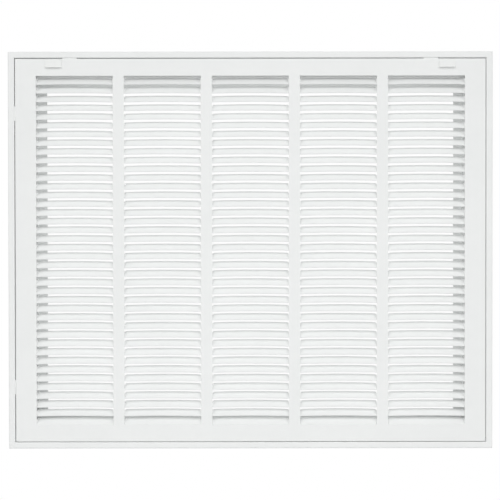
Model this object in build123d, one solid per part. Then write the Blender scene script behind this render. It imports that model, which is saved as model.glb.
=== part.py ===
from build123d import *
import math
import os

# Return air filter grille: a mitred frame that is screwed to the wall, and a louvred door that
# swings down on two pins and is held shut by two slides.
# Millimetres. X runs to the right, Y into the wall and Z up. The wall's face is the plane Y = 0,
# and the origin is the centre of the opening in that wall.

INCH = 25.4

# Wall opening that the grille is made for, and how far the frame reaches past it
opening_width = 25 * INCH
opening_height = 20 * INCH
border = 1.375 * INCH

# Frame
frame_sheet = 0.76
bend_radius = 0.8
rim_width = 9.2
rim_height = 10.0
sleeve_clearance = 1.6
sleeve_depth = 1.25 * INCH
ledge_width = 14.3
mitre_gap = 0.1

# Wall screws, through the seat of the top and bottom rails
screw_spacing = 466.0
screw_radius = 2.4
screw_setback = 13.4

# Corner angles, welded round the outside of the sleeve
angle_leg = 26.0
angle_depth = 22.0
angle_sheet = 0.76
angle_inset = 4.0

# Door pan
door_sheet = 0.7
door_gap = 0.85
door_shift = 0.15
door_drop = 0.2
fold_depth = 5.4
fold_slit = 0.4

# Louvres
column_count = 5
field_inset = 5.55
bar_width = 16.1
louvre_pitch = 0.5 * INCH
louvre_tilt = 40.0
end_lean = 1.6
end_drop = 1.4

# Door pins
pin_radius = 1.2
pin_depth = 3.4
pin_setback = 5.0
pin_head_radius = 1.8
pin_head = 1.0
pin_reach = 2.4
pin_seat_clearance = 0.02
pin_running_clearance = 0.05

# Keepers, lanced from the rim's inner wall
keeper_setback = 80.5
keeper_width = 21.0
keeper_reach = 4.0
keeper_clearance = 0.3
relief_clearance = 1.2

# Latch slides
pad_width = 23.6
pad_height = 11.4
pad_sheet = 0.9
pad_corner = 1.5
pad_below_edge = 1.4
pad_lip = 2.2
pad_to_keeper = 1.2
slide_travel = 8.0
slide_clearance = 0.1
neck_radius = 2.4
neck_clearance = 0.1
bolt_sheet = 0.8
bolt_height = 10.5
bolt_below_fold = 0.9
bolt_joggle = 1.2
rivet_radius = 1.4
rivet_head_radius = 2.0
rivet_head = 0.8
rivet_clearance = 0.05
rivet_end_wall = 0.5

# Worked out from the sizes above
overall_width = opening_width + 2 * border
overall_height = opening_height + 2 * border
recess_width = overall_width - 2 * rim_width
recess_height = overall_height - 2 * rim_width
sleeve_width = opening_width - 2 * sleeve_clearance
sleeve_height = opening_height - 2 * sleeve_clearance
door_width = recess_width - 2 * door_gap
door_height = recess_height - 2 * door_gap
column_pitch = (opening_width - 2 * field_inset + bar_width) / column_count
slot_length = column_pitch - bar_width
row_count = int(opening_height / louvre_pitch + 1e-6)
field_height = row_count * louvre_pitch
keeper_front = door_sheet + keeper_clearance
keeper_back = keeper_front + frame_sheet
bolt_front = door_sheet + slide_clearance
bolt_nose_front = keeper_back + keeper_clearance
keeper_x = recess_width / 2 - keeper_setback
keeper_z = recess_height / 2 - keeper_setback
pad_inner_x = keeper_x + keeper_width / 2 + pad_to_keeper
latch_x = pad_inner_x + pad_width / 2
screw_z = sleeve_height / 2 + screw_setback
pin_z = -door_height / 2 + pin_setback
pad_z = door_height / 2 - pad_below_edge - pad_height / 2

# The door is modelled about its own centre, with its front face at Y = 0, and then hung here
door_place = Pos(door_shift, -rim_height, -door_drop)


def block(x0, x1, y0, y1, z0, z1):
    """A rectangular block between two corners."""
    middle = ((x0 + x1) / 2, (y0 + y1) / 2, (z0 + z1) / 2)
    return Pos(*middle) * Box(abs(x1 - x0), abs(y1 - y0), abs(z1 - z0))


def prism_x(outline, length):
    """A prism of an outline given as (y, z) points, centred on X = 0."""
    face = make_face(Polyline(*[(0, y, z) for y, z in outline], close=True))
    return extrude(face, length / 2, dir=(1, 0, 0), both=True)


def prism_y(outline, y0, y1):
    """A prism of an outline given as (x, z) points, from y0 back to y1."""
    face = make_face(Polyline(*[(x, y0, z) for x, z in outline], close=True))
    return extrude(face, y1 - y0, dir=(0, 1, 0))


def prism_z(outline, z0, z1):
    """A prism of an outline given as (x, y) points, from z0 up to z1."""
    face = make_face(Polyline(*[(x, y, z0) for x, y in outline], close=True))
    return extrude(face, z1 - z0, dir=(0, 0, 1))


def rod_x(radius, x0, x1, y, z):
    """A round rod along X."""
    return Pos((x0 + x1) / 2, y, z) * Rot(0, 90, 0) * Cylinder(radius, abs(x1 - x0))


def rod_y(radius, y0, y1, x, z):
    """A round rod along Y."""
    return Pos(x, (y0 + y1) / 2, z) * Rot(90, 0, 0) * Cylinder(radius, abs(y1 - y0))


def bent_strip(skin, sheet, width, side):
    """Sheet of one thickness on one side of a bent line, as wide each way from the line's plane."""
    section = Face(skin.wires()[0].offset_2d(sheet, side=side))
    return extrude(section, width / 2, both=True)


def lengthwise(x):
    """The plane across X in which a section is drawn as (y, z) points."""
    return Plane(origin=(x, 0, 0), x_dir=(0, 1, 0), z_dir=(1, 0, 0))


def mirrored(shape):
    """The same shape on the other side of the centre line."""
    return mirror(shape, about=Plane.YZ)


# Frame


def bent_rail(length):
    """One rail lying along X with its outer edge at Z = 0 and the middle of the frame above it.

    The skin runs from the wall round the rim, down into the recess, along the seat, back
    through the wall as the sleeve and in again as the ledge that stops the filter. The two bends
    whose inside it follows are folded tight, with only the outside round.
    """
    outside_bend = bend_radius + frame_sheet
    sleeve_face = border + sleeve_clearance + frame_sheet
    seat_face = -frame_sheet
    ledge_face = sleeve_depth - frame_sheet
    ledge_edge = border + sleeve_clearance + ledge_width
    skin = FilletPolyline(
        (0, 0),
        (-rim_height, 0),
        (-rim_height, rim_width),
        (seat_face, rim_width),
        (seat_face, sleeve_face),
        (ledge_face, sleeve_face),
        (ledge_face, ledge_edge),
        radius=[outside_bend, outside_bend, 0, outside_bend, 0],
    )
    strip = lengthwise(0) * bent_strip(skin, frame_sheet, length, Side.RIGHT)
    return mitred(strip, length, ledge_edge)


def mitred(strip, length, depth):
    """Both ends cut at 45 degrees, each half the mitre gap short of the corner."""
    foot = length / 2 - mitre_gap / math.sqrt(2)
    lower = foot + frame_sheet
    upper = foot - depth - frame_sheet
    outline = [
        (-lower, -frame_sheet),
        (lower, -frame_sheet),
        (upper, depth + frame_sheet),
        (-upper, depth + frame_sheet),
    ]
    return strip & prism_y(outline, -2 * rim_height, 2 * sleeve_depth)


def frame_rail(side):
    """A rail in its place in the frame."""
    turn = {"bottom": 0, "left": 90, "top": 180, "right": 270}[side]
    upright = side in ("left", "right")
    length, reach = (overall_height, overall_width) if upright else (overall_width, overall_height)
    return Rot(0, turn, 0) * Pos(0, 0, -reach / 2) * bent_rail(length)


def keeper_tongue():
    """The tongue of a keeper, about the middle of its root in the rim's inner wall, reaching down."""
    reach = door_gap + keeper_reach
    y0 = -rim_height + keeper_front
    half = keeper_width / 2
    return block(-half, half, y0, y0 + frame_sheet, -reach, frame_sheet / 2)


def keeper_window():
    """The hole that lancing the tongue leaves in the rim's inner wall."""
    y0 = -rim_height + keeper_back
    half = keeper_width / 2
    depth = min(door_gap + keeper_reach, rim_height - keeper_back - 2 * frame_sheet)
    return block(-half, half, y0, y0 + depth, -bend_radius, 2 * frame_sheet)


def add_keepers(rail, places):
    """A rail with a keeper at each place."""
    for place in places:
        rail = rail - place * keeper_window() + place * keeper_tongue()
    return rail


def add_screw_holes(rail, z):
    """A rail with a wall-screw hole through its seat on each side of the middle."""
    for x in (-screw_spacing / 2, screw_spacing / 2):
        rail = rail - rod_y(screw_radius, -2 * frame_sheet, frame_sheet, x, z)
    return rail


def frame_rail_top():
    rail = frame_rail("top")
    keepers = [Pos(x, 0, recess_height / 2) for x in (-keeper_x, keeper_x)]
    return add_screw_holes(add_keepers(rail, keepers), screw_z)


def frame_rail_bottom():
    return add_screw_holes(frame_rail("bottom"), -screw_z)


def frame_rail_left():
    keepers = [Pos(-recess_width / 2, 0, z) * Rot(0, -90, 0) for z in (-keeper_z, keeper_z)]
    return pin_bored(add_keepers(frame_rail("left"), keepers), -1)


def frame_rail_right():
    return pin_bored(frame_rail("right"), 1)


def pin_bored(rail, side):
    """A side rail with the hole in its rim that holds a door pin."""
    wall = side * recess_width / 2
    y = -rim_height + pin_depth
    z = pin_z - door_drop
    bore = rod_x(pin_radius + pin_seat_clearance, wall - 2, wall + 2, y, z)
    return rail - bore


def corner_angle(side_x, side_z):
    """An angle that laps the mitre on the outside of the sleeve and is welded to both rails."""
    x = side_x * sleeve_width / 2
    z = side_z * sleeve_height / 2
    x_out = x + side_x * angle_sheet
    z_out = z + side_z * angle_sheet
    y0 = angle_inset
    y1 = angle_inset + angle_depth
    flat = block(x_out - side_x * angle_leg, x_out, y0, y1, z, z_out)
    upright = block(x, x_out, y0, y1, z_out - side_z * angle_leg, z_out)
    return flat + upright


# Door


def rounded_slab(half_x, half_z, front, back, radius):
    """A slab about the middle of the door, with its front edges rounded."""
    slab = block(-half_x, half_x, front, back, -half_z, half_z)
    return fillet(slab.faces().sort_by(Axis.Y)[0].edges(), radius)


def door_pan():
    """The flat face with its four edges folded back, slit where the folds meet."""
    half_x = door_width / 2
    half_z = door_height / 2
    outside_bend = bend_radius + door_sheet
    in_x = half_x - door_sheet
    in_z = half_z - door_sheet
    pan = rounded_slab(half_x, half_z, 0, fold_depth, outside_bend)
    pan -= rounded_slab(in_x, in_z, door_sheet, 2 * fold_depth, bend_radius)
    slit_z = (in_z - door_sheet, half_z + door_sheet)
    slit = block(in_x - fold_slit, in_x, outside_bend, 2 * fold_depth, *slit_z)
    upper = slit + mirrored(slit)
    return pan - upper - mirror(upper, about=Plane.XY)


def louvre():
    """One lanced blade with its two end walls, about the front of its lower edge.

    The blade keeps its width and turns about that edge, so that its upper edge goes back and
    down. Its ends stay joined to the bars by thin three-cornered walls that lean inwards.
    """
    tilt = math.radians(louvre_tilt)
    along_y, along_z = math.sin(tilt), math.cos(tilt)
    back_y = door_sheet * along_z
    back_z = -door_sheet * along_y
    rear_y = louvre_pitch * along_y
    rear_z = louvre_pitch * along_z
    wall_top = rear_z - end_drop
    outside = [
        (0, 0),
        (back_y, back_z),
        (rear_y + back_y, rear_z + back_z),
        (rear_y, rear_z),
        (0, wall_top),
    ]
    past = louvre_pitch / 4
    hollow = [
        (-past * along_y, -past * along_z),
        (rear_y + past * along_y, rear_z + past * along_z),
        (-2 * past, rear_z + 2 * past),
    ]
    slope = end_lean / rear_y
    wall = door_sheet * math.hypot(1, slope)
    mouth = slot_length / 2 + wall
    body = prism_x(outside, 2 * mouth) & end_cut(mouth, slope)
    return body - (prism_x(hollow, 2 * mouth) & end_cut(mouth - wall, slope))


def end_cut(half_mouth, slope):
    """A wedge-sided block, widest at the front, that sets the lean of a louvre's ends."""
    front = -louvre_pitch
    back = 2 * louvre_pitch
    outline = [
        (-half_mouth + slope * front, front),
        (half_mouth - slope * front, front),
        (half_mouth - slope * back, back),
        (-half_mouth + slope * back, back),
    ]
    return prism_z(outline, -louvre_pitch, 2 * louvre_pitch)


def slot_cut():
    """The slot that the neck of the right-hand latch slides in."""
    radius = neck_radius + neck_clearance
    inner_x = latch_x - slide_travel
    ends = [rod_y(radius, -1, 2 * door_sheet, x, pad_z) for x in (inner_x, latch_x)]
    middle = block(inner_x, latch_x, -1, 2 * door_sheet, pad_z - radius, pad_z + radius)
    return middle + ends


def fold_relief():
    """The part of a fold cut away round a keeper, about the middle of the fold's edge."""
    half = keeper_width / 2 + relief_clearance
    return block(-half, half, door_sheet, fold_depth + 1, -2 * bend_radius, 1)


def door_pin_hole(x):
    """The hole through a side fold that turns on a pin."""
    radius = pin_radius + pin_running_clearance
    return rod_x(radius, x - 2 * door_sheet, x + 2 * door_sheet, pin_depth, pin_z)


def door_face():
    """The pressed door: pan, louvres, latch slots, pin holes and the reliefs in its folds."""
    pan = door_pan()
    lowest = -field_height / 2
    columns = [(i - (column_count - 1) / 2) * column_pitch for i in range(column_count)]
    rows = [lowest + i * louvre_pitch for i in range(row_count)]
    half = slot_length / 2
    windows = [
        block(x - half, x + half, -1, 2 * door_sheet, lowest, lowest + field_height)
        for x in columns
    ]
    top_reliefs = [Pos(x, 0, door_height / 2) * fold_relief() for x in (-keeper_x, keeper_x)]
    left = Pos(-door_width / 2, 0, 0) * Rot(0, -90, 0)
    left_reliefs = [left * Pos(z, 0, 0) * fold_relief() for z in (-keeper_z, keeper_z)]
    pin_holes = [door_pin_hole(side * door_width / 2) for side in (-1, 1)]
    slots = [slot_cut(), mirrored(slot_cut())]
    pan = pan - (windows + top_reliefs + left_reliefs + pin_holes + slots)
    blade = louvre()
    return pan + [Pos(x, 0, z) * blade for x in columns for z in rows]


def door_pin():
    """The right-hand pin: headed inside the rim, with its point inside the door's fold."""
    y = -rim_height + pin_depth
    z = pin_z - door_drop
    seat = recess_width / 2 + frame_sheet
    tip = recess_width / 2 - door_gap - door_sheet - pin_reach
    return rod_x(pin_radius, tip, seat, y, z) + rod_x(pin_head_radius, seat, seat + pin_head, y, z)


# Latches, modelled on the right-hand side of the door


def latch_pad():
    """The finger pad on the face, with its lip, and the neck that passes through the slot."""
    back = -slide_clearance
    front = back - pad_sheet
    top = pad_z + pad_height / 2
    lip_z = pad_z - pad_height / 2 + pad_sheet
    skin = FilletPolyline((front, top), (front, lip_z), (front - pad_lip, lip_z), radius=bend_radius)
    plate = lengthwise(latch_x) * bent_strip(skin, pad_sheet, pad_width, Side.LEFT)
    plate = fillet(plate.edges().filter_by(Axis.Y).sort_by(Axis.Z)[-2:], pad_corner)
    neck = rod_y(neck_radius, front + pad_sheet / 2, bolt_front, latch_x, pad_z)
    bore = rod_y(rivet_radius + rivet_clearance, front + rivet_end_wall, bolt_front + 1, latch_x, pad_z)
    return plate + neck - bore


def latch_bolt():
    """The flat slide behind the face, joggled back so that its nose passes behind the keeper."""
    nose_x = pad_inner_x
    joggle_x = nose_x + slide_travel
    body_x = joggle_x + bolt_joggle
    skin = FilletPolyline(
        (nose_x, bolt_nose_front),
        (joggle_x, bolt_nose_front),
        (body_x, bolt_front),
        (nose_x + pad_width, bolt_front),
        radius=bolt_joggle / 3,
    )
    middle_z = door_height / 2 - door_sheet - bolt_below_fold - bolt_height / 2
    strip = Pos(0, 0, middle_z) * bent_strip(skin, bolt_sheet, bolt_height, Side.LEFT)
    return strip - rod_y(rivet_radius + rivet_clearance, 0, 2 * bolt_nose_front, latch_x, pad_z)


def latch_rivet():
    """The rivet that draws the bolt against the pad's neck."""
    seat = bolt_front + bolt_sheet
    end = rivet_end_wall - slide_clearance - pad_sheet + rivet_clearance
    shank = rod_y(rivet_radius, end, seat, latch_x, pad_z)
    return shank + rod_y(rivet_head_radius, seat, seat + rivet_head, latch_x, pad_z)


pieces = {
    "frame_rail_top": frame_rail_top(),
    "frame_rail_bottom": frame_rail_bottom(),
    "frame_rail_left": frame_rail_left(),
    "frame_rail_right": frame_rail_right(),
    "door_face": door_place * door_face(),
    "door_pin_right": door_pin(),
    "door_pin_left": mirrored(door_pin()),
}
for side_z, level in ((1, "top"), (-1, "bottom")):
    for side_x, hand in ((-1, "left"), (1, "right")):
        pieces[f"corner_angle_{level}_{hand}"] = corner_angle(side_x, side_z)
for name, piece in (("pad", latch_pad()), ("bolt", latch_bolt()), ("rivet", latch_rivet())):
    pieces[f"latch_{name}_right"] = door_place * piece
    pieces[f"latch_{name}_left"] = door_place * mirrored(piece)

os.makedirs("parts", exist_ok=True)
for name, piece in pieces.items():
    export_step(piece, f"parts/{name}.step")
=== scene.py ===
import math

import bmesh
import bpy
import numpy as np
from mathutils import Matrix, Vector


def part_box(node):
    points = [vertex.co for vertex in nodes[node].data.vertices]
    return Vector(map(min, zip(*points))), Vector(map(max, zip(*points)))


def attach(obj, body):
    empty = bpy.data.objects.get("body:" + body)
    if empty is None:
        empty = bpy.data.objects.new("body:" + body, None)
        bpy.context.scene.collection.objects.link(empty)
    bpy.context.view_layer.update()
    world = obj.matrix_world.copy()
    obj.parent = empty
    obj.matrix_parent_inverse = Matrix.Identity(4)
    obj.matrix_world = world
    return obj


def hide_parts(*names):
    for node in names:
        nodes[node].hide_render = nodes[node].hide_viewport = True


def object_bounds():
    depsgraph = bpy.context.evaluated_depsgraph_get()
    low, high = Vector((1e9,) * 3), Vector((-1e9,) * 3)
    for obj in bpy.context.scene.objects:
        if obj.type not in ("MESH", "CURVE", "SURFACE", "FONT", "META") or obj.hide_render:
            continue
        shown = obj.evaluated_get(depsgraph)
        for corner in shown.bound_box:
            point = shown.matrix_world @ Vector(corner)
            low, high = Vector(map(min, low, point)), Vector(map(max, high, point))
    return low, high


# Return air filter grille in white powder coat. The louvred door, the finger pads and the rivets
# are made here from their own sections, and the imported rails, angles, pins and slides get their
# finishes. Metres. X runs to the right, Y into the wall and Z up.

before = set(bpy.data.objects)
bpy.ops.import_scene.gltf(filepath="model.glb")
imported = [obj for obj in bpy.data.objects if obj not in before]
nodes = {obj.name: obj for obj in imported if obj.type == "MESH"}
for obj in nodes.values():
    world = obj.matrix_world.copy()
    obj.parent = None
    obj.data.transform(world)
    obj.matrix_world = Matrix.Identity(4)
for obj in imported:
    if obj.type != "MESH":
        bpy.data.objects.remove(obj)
cad_low, cad_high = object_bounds()

MM = 0.001

# Door sheet
sheet = 0.7 * MM
outside_bend = 1.5 * MM
inside_bend = 0.8 * MM
fold_depth = 5.4 * MM
fold_slit = 0.4 * MM
flat_border = 0.6 * MM

# Louvres
column_count = 5
row_count = 40
column_pitch = 128 * MM
bar_width = 16.1 * MM
louvre_pitch = 12.7 * MM
louvre_tilt = math.radians(40)
ear_lean = 1.6 * MM
ear_drop = 1.4 * MM
ear_drop_power = 0.7
ear_foot_share = 0.1
ear_opening_power = 3
foot_crown = 0.7 * MM
deep_crown = 0.9 * MM
end_sag = 0.65 * MM
root_bend = 0.8 * MM
blade_bend = 1.0 * MM
blade_border = 1.2 * MM

# Reliefs that the door's folds have round the keepers
rim_width = 9.2 * MM
keeper_setback = 80.5 * MM
relief_half_width = 11.7 * MM
relief_reach = 1.6 * MM

# Finger pads and rivets
pad_sheet = 0.9 * MM
pad_bend = 0.9 * MM
pad_top_corner = 1.5 * MM
pad_lip_corner = 1.7 * MM
pad_edge = 0.2 * MM
slide_clearance = 0.1 * MM
neck_radius = 2.4 * MM
rivet_hole_radius = 1.45 * MM
rivet_radius = 1.4 * MM
rivet_rise = 0.8 * MM
rivet_skirt_share = 0.3

# Pin holes and latch slots
pin_hole_radius = 1.25 * MM
pin_setback = 5.0 * MM
pin_depth = 3.4 * MM
slot_radius = 2.5 * MM
slide_travel = 8 * MM

# Studio, with the camera's pitch in degrees
floor_drop = 0.66
floor_clear = 0.9
floor_reach = 2.2
camera_distance = 1.85
camera_pitch = 0.7
white = (1, 1, 1, 1)

door_low, door_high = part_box("door_face")
door_centre_x = (door_low.x + door_high.x) / 2
door_centre_z = (door_low.z + door_high.z) / 2
half_width = (door_high.x - door_low.x) / 2
half_height = (door_high.z - door_low.z) / 2
face_y = door_low.y
slot_length = column_pitch - bar_width
field_height = row_count * louvre_pitch
keeper_x = cad_high.x - rim_width - keeper_setback
keeper_z = cad_high.z - rim_width - keeper_setback


class Signal:
    """An output of a finish's node tree. Arithmetic on it adds Math nodes."""

    def __init__(self, finish, socket):
        self.finish = finish
        self.socket = socket

    def __add__(self, other):
        return self.finish.math("ADD", self, other)

    def __radd__(self, other):
        return self.finish.math("ADD", other, self)

    def __mul__(self, other):
        return self.finish.math("MULTIPLY", self, other)

    def __rmul__(self, other):
        return self.finish.math("MULTIPLY", other, self)

    def spread(self, low, high):
        """The value between low and high, spread smoothly over 0 to 1."""
        settings = {"interpolation_type": "SMOOTHSTEP", "clamp": True}
        limits = {"Value": self, "From Min": low, "From Max": high}
        return self.finish.node("ShaderNodeMapRange", settings, limits)


class Finish:
    """A finish of the grille, the floor's paint or the studio's light, built node by node."""

    def __init__(self, holder):
        """The holder is a new material or world."""
        holder.use_nodes = True
        self.holder = holder
        self.tree = holder.node_tree
        self.tree.nodes.clear()

    def node(self, kind, settings=None, inputs=None, output=0):
        """One node with its settings made first, then its sockets filled or linked."""
        made = self.tree.nodes.new(kind)
        for name, value in (settings or {}).items():
            setattr(made, name, value)
        for name, value in (inputs or {}).items():
            if isinstance(value, Signal):
                self.tree.links.new(value.socket, made.inputs[name])
            else:
                made.inputs[name].default_value = value
        return Signal(self, made.outputs[output]) if len(made.outputs) else None

    def math(self, operation, *values):
        """A Math node on these values."""
        return self.node("ShaderNodeMath", {"operation": operation}, dict(enumerate(values)))

    def blend(self, share, first, second):
        """The colour that lies this share of the way from the first to the second."""
        sockets = {0: share, 6: first, 7: second}
        return self.node("ShaderNodeMix", {"data_type": "RGBA"}, sockets, 2)

    def noise(self, per_metre, detail, roughness):
        """Even noise with this many waves to the metre, which moves with the piece."""
        place = self.node("ShaderNodeTexCoord", output="Object")
        sockets = {"Vector": place, "Scale": per_metre, "Detail": detail, "Roughness": roughness}
        return self.node("ShaderNodeTexNoise", {"noise_dimensions": "3D"}, sockets)

    def bump(self, height, depth):
        """A normal from a height of 0 to 1 that stands for this many metres."""
        return self.node("ShaderNodeBump", None, {"Height": height, "Distance": depth, "Strength": 1.0})

    def surface(self, **inputs):
        """The painted or plated surface that the piece shows."""
        named = {name.replace("_", " "): value for name, value in inputs.items()}
        self.end("ShaderNodeOutputMaterial", self.node("ShaderNodeBsdfPrincipled", None, named, "BSDF"))

    def end(self, kind, shader):
        """The output node, which shows this shader."""
        self.node(kind, None, {"Surface": shader})


def powder_coat(name, colour, shade, peel_depth):
    """White powder coat: fine orange peel, and a faint unevenness in tone and gloss."""
    finish = Finish(bpy.data.materials.new(name))
    peel = finish.noise(per_metre=520.0, detail=2.0, roughness=0.45)
    cloud = finish.noise(per_metre=9.0, detail=2.0, roughness=0.5)
    film = finish.noise(per_metre=60.0, detail=3.0, roughness=0.6)
    cloud_share = 0.6
    film_share = 0.4
    base_roughness = 0.48
    roughness_range = 0.08
    cloud_tone = cloud.spread(low=0.3, high=0.7)
    film_tone = film.spread(low=0.3, high=0.7)
    finish.surface(
        Base_Color=finish.blend(cloud_tone * cloud_share + film_tone * film_share, shade, colour),
        Roughness=base_roughness + film * roughness_range,
        Normal=finish.bump(peel, peel_depth),
    )
    return finish.holder


def bright_zinc(name):
    """Zinc plate: a cool grey metal with a soft cloudy spangle and fine drawing marks."""
    finish = Finish(bpy.data.materials.new(name))
    cloud = finish.noise(per_metre=260.0, detail=3.0, roughness=0.6)
    grain = finish.noise(per_metre=1500.0, detail=2.0, roughness=0.5)
    dull = (0.46, 0.47, 0.48, 1)
    bright = (0.62, 0.63, 0.65, 1)
    base_roughness = 0.3
    roughness_range = 0.18
    grain_depth = 0.004 * MM
    finish.surface(
        Base_Color=finish.blend(cloud.spread(low=0.35, high=0.65), dull, bright),
        Metallic=1.0,
        Roughness=base_roughness + cloud * roughness_range,
        Normal=finish.bump(grain, grain_depth),
    )
    return finish.holder


def floor_paint(name):
    """The pale studio floor, which turns into the white surround away from the grille."""
    finish = Finish(bpy.data.materials.new(name))
    cloud = finish.noise(per_metre=3.0, detail=2.0, roughness=0.5)
    duller = (0.86, 0.86, 0.86, 1)
    paler = (0.89, 0.89, 0.89, 1)
    tone = finish.blend(cloud.spread(low=0.3, high=0.7), duller, paler)
    painted = finish.node("ShaderNodeBsdfPrincipled", None, {"Base Color": tone, "Roughness": 0.7})
    shining = finish.node("ShaderNodeEmission", None, {"Color": white, "Strength": 1.0})
    place = finish.node("ShaderNodeTexCoord", output="Object")
    level = (1, 1, 0)
    level_place = finish.node("ShaderNodeVectorMath", {"operation": "MULTIPLY"}, {0: place, 1: level})
    away = finish.node("ShaderNodeVectorMath", {"operation": "LENGTH"}, {0: level_place}, "Value")
    seen = finish.node("ShaderNodeLightPath", output="Is Camera Ray")
    share = away.spread(floor_clear, floor_reach) * seen
    mixed = finish.node("ShaderNodeMixShader", None, {0: share, 1: painted, 2: shining})
    finish.end("ShaderNodeOutputMaterial", mixed)
    # Only the camera sees the white, so it isn't sampled as a lamp
    finish.holder.cycles.emission_sampling = "NONE"
    return finish.holder


class Shell:
    """Skins of points and faces, from which a piece's mesh is made."""

    def __init__(self, points=(), faces=()):
        self.points = [tuple(point) for point in points]
        self.faces = [tuple(face) for face in faces]

    def grid(self, points):
        """Quads between the points of an array with two directions."""
        rows, cols = points.shape[:2]
        start = len(self.points)
        self.points.extend(map(tuple, points.reshape(-1, 3)))
        for i in range(rows - 1):
            for j in range(cols - 1):
                a = start + i * cols + j
                self.faces.append((a, a + 1, a + cols + 1, a + cols))

    def face(self, points):
        """One flat face."""
        start = len(self.points)
        self.points.extend(map(tuple, points))
        self.faces.append(tuple(range(start, start + len(points))))

    def add(self, other, shift=(0.0, 0.0, 0.0)):
        """Another shell's skins, moved by the shift."""
        start = len(self.points)
        self.points.extend(map(tuple, np.array(other.points) + np.array(shift)))
        self.faces.extend(tuple(start + index for index in face) for face in other.faces)

    def mesh(self, name, welded=False):
        """The skins as a mesh. Welding joins points that meet and turns every face outwards."""
        made = bpy.data.meshes.new(name)
        made.from_pydata(self.points, [], self.faces)
        if welded:
            weld_reach = 0.0005 * MM
            bm = bmesh.new()
            bm.from_mesh(made)
            bmesh.ops.remove_doubles(bm, verts=bm.verts, dist=weld_reach)
            bmesh.ops.recalc_face_normals(bm, faces=bm.faces)
            bm.to_mesh(made)
            bm.free()
        return made

    def welded(self):
        """The same shell with its skins joined into one."""
        return read_back(self.mesh("welded", welded=True))


def read_back(mesh):
    """A mesh as a shell."""
    return Shell([v.co for v in mesh.vertices], [face.vertices for face in mesh.polygons])


def linked(name, mesh):
    """An object in the scene that holds this mesh."""
    made = bpy.data.objects.new(name, mesh)
    bpy.context.scene.collection.objects.link(made)
    return made


def carved(body, tool):
    """A closed shell with another one cut out of it."""
    blank = linked("blank", body.mesh("blank", welded=True))
    cutter = linked("cutter", tool.mesh("cutter"))
    cut = blank.modifiers.new("cut", "BOOLEAN")
    cut.operation = "DIFFERENCE"
    cut.solver = "EXACT"
    cut.object = cutter
    left = blank.evaluated_get(bpy.context.evaluated_depsgraph_get())
    shell = read_back(bpy.data.meshes.new_from_object(left))
    bpy.data.objects.remove(blank)
    bpy.data.objects.remove(cutter)
    return shell


def dressed(name, shell, material, body, slot, *replaced):
    """A finished piece in its material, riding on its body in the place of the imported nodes."""
    crease = math.radians(35)
    mesh = shell.mesh(name)
    mesh.shade_smooth()
    mesh.set_sharp_from_angle(angle=crease)
    mesh.materials.append(material)
    piece = linked(name, mesh)
    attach(piece, body)
    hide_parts(*replaced)


def quarter_turn(steps):
    """Even angles from nought to a right angle."""
    return [math.pi / 2 * i / steps for i in range(steps + 1)]


def rectangle(u0, u1, v0, v1):
    """The corners of a rectangle from u0 to u1 and from v0 to v1."""
    return [(u0, v0), (u1, v0), (u1, v1), (u0, v1)]


def stadium(u0, u1, v, radius, steps=12):
    """A slot's outline with round ends, about the line from u0 to u1 at v."""
    turns = [math.pi * i / steps for i in range(steps + 1)]
    right = [(u1 + radius * math.sin(t), v - radius * math.cos(t)) for t in turns]
    left = [(u0 - radius * math.sin(t), v + radius * math.cos(t)) for t in turns]
    return right + left


def circle(u, v, radius, steps=32):
    """A round hole's outline about one place."""
    turns = [2 * math.pi * i / steps for i in range(steps)]
    return [(u + radius * math.cos(t), v + radius * math.sin(t)) for t in turns]


def on_door(u, v, depth):
    """A place on the door, from its centre rightwards and upwards and from its face back."""
    return door_centre_x + u, face_y + depth, door_centre_z + v


def beside_door(depth, v, u):
    """The same place, with its numbers in the order that a cut along X needs."""
    return on_door(u, v, depth)


def prism(outline, low, high, place):
    """A closed prism of an outline between two depths, put in space by place()."""
    shell = Shell()
    ends = [[place(u, v, depth) for u, v in outline] for depth in (low, high)]
    shell.face(ends[0])
    shell.face(ends[1])
    shell.grid(np.array([end + end[:1] for end in ends]))
    return shell.welded()


def plate_with_holes(outline, holes, thickness, place):
    """The two flat skins of a plate and the walls of its holes, but no wall round its edge."""
    bm = bmesh.new()
    for ring in [outline] + holes:
        corners = [bm.verts.new((u, v, 0)) for u, v in ring]
        for first, second in zip(corners, corners[1:] + corners[:1]):
            bm.edges.new((first, second))
    bmesh.ops.triangle_fill(bm, use_beauty=True, edges=bm.edges[:])
    shell = Shell()
    for face in bm.faces:
        for depth in (0.0, thickness):
            shell.face([place(v.co.x, v.co.y, depth) for v in face.verts])
    bm.free()
    for ring in holes:
        loop = ring + ring[:1]
        shell.grid(np.array([[place(u, v, depth) for u, v in loop] for depth in (0.0, thickness)]))
    return shell


def column_places():
    """The middles of the louvre columns, from the door's middle rightwards."""
    return [(i - (column_count - 1) / 2) * column_pitch for i in range(column_count)]


def fold_section(steps=8):
    """(inset from the door's edge, depth) round a fold, from the face's front to its back."""
    turns = quarter_turn(steps)
    flat = outside_bend + flat_border

    def bend(radius):
        return [(outside_bend - radius * math.sin(t), outside_bend - radius * math.cos(t)) for t in turns]

    front = [(flat, 0.0)] + bend(outside_bend) + [(0.0, fold_depth)]
    back = [(flat, sheet)] + bend(inside_bend) + [(sheet, fold_depth)]
    return front + back[::-1]


def door_pan():
    """The flat face with its windows, and its four edges bent back."""
    flat_x = half_width - outside_bend - flat_border
    flat_z = half_height - outside_bend - flat_border
    half = slot_length / 2
    windows = [
        rectangle(x - half, x + half, -field_height / 2, field_height / 2) for x in column_places()
    ]
    pan = plate_with_holes(rectangle(-flat_x, flat_x, -flat_z, flat_z), windows, sheet, on_door)
    corners = [(-1, -1), (1, -1), (1, 1), (-1, 1), (-1, -1)]
    ring = [
        [on_door(x * (half_width - inset), z * (half_height - inset), depth) for x, z in corners]
        for inset, depth in fold_section()
    ]
    pan.grid(np.array(ring))
    return pan


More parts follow.
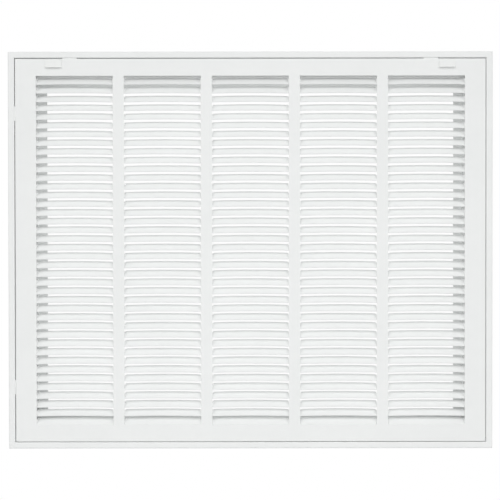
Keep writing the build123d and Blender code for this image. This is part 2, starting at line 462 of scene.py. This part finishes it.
def door_cuts():
    """What is cut out of the pan: corner slits, keeper reliefs, pin holes and latch slots."""
    cuts = Shell()
    past = 1 * MM
    behind = fold_depth + past
    inner_x = half_width - sheet
    for side in (-1, 1):
        slit_x = sorted((side * inner_x, side * (inner_x - fold_slit)))
        for level in (-1, 1):
            slit_z = sorted((level * (half_height - 2 * sheet), level * (half_height + past)))
            cuts.add(prism(rectangle(*slit_x, *slit_z), outside_bend, behind, on_door))
        reach = (half_height - relief_reach, half_height + past)
        across = (side * keeper_x - relief_half_width, side * keeper_x + relief_half_width)
        cuts.add(prism(rectangle(*across, *reach), sheet, behind, on_door))
        reach = (-half_width - past, -half_width + relief_reach)
        along = (side * keeper_z - relief_half_width, side * keeper_z + relief_half_width)
        cuts.add(prism(rectangle(*reach, *along), sheet, behind, on_door))
        hole = circle(pin_depth, pin_setback - half_height, pin_hole_radius)
        cuts.add(prism(hole, *sorted((side * (inner_x - past), side * (half_width + past))), beside_door))
        pad_low, pad_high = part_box("latch_pad_right" if side > 0 else "latch_pad_left")
        pad_x = (pad_low.x + pad_high.x) / 2 - door_centre_x
        pad_z = (pad_low.z + pad_high.z) / 2 - door_centre_z
        slot = stadium(*sorted((pad_x, pad_x - side * slide_travel)), pad_z, slot_radius)
        cuts.add(prism(slot, -past, 2 * sheet, on_door))
    return cuts


def ear_section():
    """(distance in from the window's end, share of full depth) along an ear, root to blade."""
    depth = louvre_pitch * math.sin(louvre_tilt)
    angle = math.atan2(depth, ear_lean)
    straight = (depth - (root_bend + blade_bend) * (1 - math.cos(angle))) / math.sin(angle)
    root_steps = (0.35, 0.7, 1.0)
    straight_steps = (0.5, 1.0)
    blade_steps = (0.8, 0.6, 0.4, 0.2, 0.0)
    points = [(0.0, 0.0)]
    for step in root_steps:
        turn = angle * step
        points.append((root_bend * math.sin(turn), root_bend * (1 - math.cos(turn))))
    x, y = points[-1]
    for step in straight_steps:
        points.append((x + step * straight * math.cos(angle), y + step * straight * math.sin(angle)))
    end_x = points[-1][0] + blade_bend * math.sin(angle)
    for step in blade_steps:
        turn = angle * step
        points.append((end_x - blade_bend * math.sin(turn), depth - blade_bend * (1 - math.cos(turn))))
    points.append((end_x + blade_border, depth))
    return [(x, y / depth) for x, y in points]


def louvre(lower_crown):
    """One closed louvre, about the middle of its lower front edge.

    The blade arches up in its middle, by lower_crown at the face and by deep_crown at its deep edge.
    That edge lies end_sag lower than a flat blade's would. The ears open out from a narrow foot.
    """
    half = slot_length / 2
    ear = ear_section()
    blade_end = half - ear[-1][0]
    blade_points = 11
    levels = 5
    middle = [(x, 1.0) for x in np.linspace(-blade_end, blade_end, blade_points)[1:-1]]
    tall = louvre_pitch * math.cos(louvre_tilt) - end_sag
    front = np.zeros((levels, len(middle) + 2 * len(ear), 3))
    for i, rise in enumerate(np.linspace(0, 1, levels)):
        opening = ear_foot_share + (1 - ear_foot_share) * rise ** ear_opening_power
        left = [(x * opening - half, share) for x, share in ear]
        right = [(half - x * opening, share) for x, share in reversed(ear)]
        for j, (x, share) in enumerate(left + middle + right):
            z = rise * (tall - ear_drop * (1 - share) ** ear_drop_power)
            crown = (lower_crown + rise * (deep_crown - lower_crown)) * (1 - (x / half) ** 2)
            front[i, j] = (x, math.tan(louvre_tilt) * z * share, z + crown)
    normal = np.cross(np.gradient(front, axis=1), np.gradient(front, axis=0))
    normal /= np.linalg.norm(normal, axis=2, keepdims=True)
    normal *= np.sign(-normal[..., 1:2])
    back = front - normal * sheet
    shell = Shell()
    shell.grid(front)
    shell.grid(back)
    for edge in (np.s_[0], np.s_[-1], np.s_[:, 0], np.s_[:, -1]):
        shell.grid(np.stack([front[edge], back[edge]]))
    return shell.welded()


def add_door(material):
    """The pressed door: pan, folds, slots and two hundred louvres.

    The lowest louvre of a column starts straight, at the edge of the flat face.
    """
    door = carved(door_pan(), door_cuts())
    lowest = louvre(lower_crown=0.0)
    other = louvre(lower_crown=foot_crown)
    for x in column_places():
        for row in range(row_count):
            door.add(other if row else lowest, on_door(x, row * louvre_pitch - field_height / 2, 0.0))
    dressed("door_sheet", door, material, "door", "door_paint", "door_face")


def corner_steps(radius, steps=6):
    """Distances from an edge at which a rounded corner of this radius is drawn."""
    return [radius * (1 - math.cos(turn)) for turn in quarter_turn(steps)]


def corner_loss(distance, radius):
    """How far a rounded corner of this radius draws in at a distance from the edge."""
    left = max(radius - distance, 0.0)
    return radius - math.sqrt(radius ** 2 - left ** 2)


def pad_ring(half_wide, half_thick, steps=3):
    """(across, through) round the pad's sheet, with its edges eased.

    A point on the flat, beside each eased edge, keeps the flat's shading even.
    """
    turns = quarter_turn(steps)
    wide = half_wide - pad_edge
    thick = half_thick - pad_edge
    front = [(wide + pad_edge * math.sin(t), thick + pad_edge * math.cos(t)) for t in turns]
    back = [(u, -v) for u, v in reversed(front)]
    beside_edge = 4 * pad_edge
    inner = half_wide - beside_edge
    right = [(inner, half_thick)] + front + back + [(inner, -half_thick)]
    return right + [(-u, v) for u, v in reversed(right)] + right[:1]


def finger_pad(low, high):
    """A pad cut flat with rounded corners, its lip bent forwards, and the neck on its back."""
    half = pad_sheet / 2
    middle_x = (low.x + high.x) / 2
    plate_back = face_y - slide_clearance
    plate_y = plate_back - half
    lip_z = low.z + half
    straight = high.z - lip_z - pad_bend
    turn = pad_bend * math.pi / 2
    total = straight + turn + plate_y - pad_bend - low.y
    bend_points = 7
    places = corner_steps(pad_top_corner)
    places += [straight + turn * share for share in np.linspace(0, 1, bend_points)]
    places += [total - step for step in reversed(corner_steps(pad_lip_corner))]
    rings = []
    for place in places:
        angle = min(max(place - straight, 0.0) / pad_bend, math.pi / 2)
        lip = max(place - straight - turn, 0.0)
        y = plate_y - pad_bend * (1 - math.cos(angle)) - lip
        z = high.z - min(place, straight) - pad_bend * math.sin(angle)
        wide = (high.x - low.x) / 2 - corner_loss(place, pad_top_corner)
        wide -= corner_loss(total - place, pad_lip_corner)
        thick = half - corner_loss(min(place, total - place), pad_edge)
        rings.append([
            (middle_x + u, y - v * math.cos(angle), z + v * math.sin(angle))
            for u, v in pad_ring(wide, thick)
        ])
    shell = Shell()
    shell.grid(np.array(rings))
    shell.face(rings[0][:-1])
    shell.face(rings[-1][:-1])
    pad = shell.welded()
    neck = [
        (rivet_hole_radius, plate_back),
        (neck_radius, plate_back),
        (neck_radius, high.y),
        (rivet_hole_radius, high.y),
        (rivet_hole_radius, plate_back),
    ]
    pad.add(turned(neck, low, high))
    return pad


def turned(profile, low, high, steps=32):
    """A form turned about the line along Y through the middle of a box, from (radius, y)."""
    turns = [2 * math.pi * i / steps for i in range(steps + 1)]
    x = (low.x + high.x) / 2
    z = (low.z + high.z) / 2
    shell = Shell()
    shell.grid(np.array([
        [(x + radius * math.cos(t), y, z + radius * math.sin(t)) for t in turns] for radius, y in profile
    ]))
    return shell.welded()


def slide_rivet(low, high, steps=6):
    """The rivet that holds a pad's neck to its slide, with a domed head at the back."""
    seat = high.y - rivet_rise
    wide = (high.x - low.x) / 2
    skirt = rivet_skirt_share * rivet_rise
    profile = [(0.0, low.y), (rivet_radius, low.y), (rivet_radius, seat), (wide, seat)]
    for turn in quarter_turn(steps):
        dome = (rivet_rise - skirt) * math.sin(turn)
        profile.append((wide * math.cos(turn), seat + skirt + dome))
    return turned(profile, low, high)


def add_latches(pad_material, rivet_material):
    """The finger pads and their rivets, each riding with its own slide."""
    for side in ("left", "right"):
        body = f"latch_{side}"
        pad = finger_pad(*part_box(f"latch_pad_{side}"))
        dressed(f"finger_pad_{side}", pad, pad_material, body, "pad_paint", f"latch_pad_{side}")
        rivet = slide_rivet(*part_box(f"latch_rivet_{side}"))
        dressed(f"slide_rivet_{side}", rivet, rivet_material, body, "zinc_plate", f"latch_rivet_{side}")


def add_floor(material):
    """A pale floor some way below the grille."""
    mesh = bpy.data.meshes.new("studio_floor")
    z = cad_low.z - floor_drop
    corners = rectangle(-floor_reach, floor_reach, -floor_reach, floor_reach)
    mesh.from_pydata([(x, y, z) for x, y in corners], [], [(0, 1, 2, 3)])
    mesh.materials.append(material)
    linked("studio_floor", mesh)


def add_surround(level):
    """White where it is looked at, and a plain grey light for everything else."""
    studio = Finish(bpy.data.worlds.new("studio"))
    bpy.context.scene.world = studio.holder
    seen = studio.node("ShaderNodeLightPath", output="Is Camera Ray")
    mirrored = studio.node("ShaderNodeLightPath", output="Is Glossy Ray")
    passed = studio.node("ShaderNodeLightPath", output="Is Transmission Ray")
    shown = studio.math("MAXIMUM", seen, studio.math("MAXIMUM", mirrored, passed))
    light = studio.node("ShaderNodeBackground", None, {"Color": white, "Strength": level})
    backdrop = studio.node("ShaderNodeBackground", None, {"Color": white, "Strength": 1.0})
    mixed = studio.node("ShaderNodeMixShader", None, {0: shown, 1: light, 2: backdrop})
    studio.end("ShaderNodeOutputWorld", mixed)


def add_lamp(name, azimuth, elevation, level, distance, width):
    """A square lamp that lights a white sheet facing it to this level. Azimuth 0 is in front."""
    turn = math.radians(azimuth)
    rise = math.radians(elevation)
    lamp = bpy.data.lights.new(name, "AREA")
    lamp.shape = "SQUARE"
    lamp.size = width
    lamp.energy = level * (math.pi * distance) ** 2
    held = bpy.data.objects.new(name, lamp)
    reach = distance * math.cos(rise)
    held.location = (reach * math.sin(turn), -reach * math.cos(turn), distance * math.sin(rise))
    held.rotation_euler = (math.pi / 2 - rise, 0, turn)
    held.visible_camera = False
    bpy.context.scene.collection.objects.link(held)


def add_camera():
    """Nearly square on to the grille's middle, and tipped down a little as in the photograph."""
    pitch = math.radians(camera_pitch)
    roll = math.radians(0.07)
    millimetres_per_pixel = 1.4555
    image_width = 500
    aim_x = -0.0006
    aim_z = 0.0004
    view = bpy.data.cameras.new("camera")
    view.sensor_width = 36.0
    view.lens = view.sensor_width * camera_distance / MM / (image_width * millimetres_per_pixel)
    held = bpy.data.objects.new("camera", view)
    back = camera_distance * math.cos(pitch)
    held.location = (aim_x, face_y - back, aim_z + camera_distance * math.sin(pitch))
    held.rotation_euler = (math.pi / 2 - pitch, roll, 0)
    bpy.context.scene.collection.objects.link(held)
    bpy.context.scene.camera = held


def paint(beginnings, material):
    """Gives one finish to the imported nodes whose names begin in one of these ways."""
    for name, node in nodes.items():
        if name.startswith(beginnings):
            for held in node.material_slots:
                held.material = material


coat = (0.846, 0.859, 0.853, 1)
thin_coat = (0.822, 0.836, 0.83, 1)
pad_coat = (0.846, 0.86, 0.85, 1)
thin_pad_coat = (0.83, 0.844, 0.833, 1)
frame_finish = powder_coat("frame_powder_coat", coat, thin_coat, peel_depth=0.012 * MM)
door_finish = powder_coat("door_powder_coat", coat, thin_coat, peel_depth=0.01 * MM)
pad_finish = powder_coat("pad_powder_coat", pad_coat, thin_pad_coat, peel_depth=0.008 * MM)
zinc = bright_zinc("zinc_plate")

paint(("frame_rail", "corner_angle"), frame_finish)
paint(("door_pin", "latch_bolt"), zinc)
add_door(door_finish)
add_latches(pad_finish, zinc)

add_floor(floor_paint("studio_floor_paint"))
add_surround(level=0.285)
for side in (-1, 1):
    add_lamp("side_softbox", azimuth=42 * side, elevation=32, level=0.35, distance=10, width=5.4)
add_lamp("front_fill", azimuth=0, elevation=camera_pitch, level=0.15, distance=camera_distance, width=0.24)
add_lamp("back_light", azimuth=180, elevation=12, level=0.6, distance=15, width=12)
add_camera()
bpy.context.scene.view_settings.view_transform = "Standard"
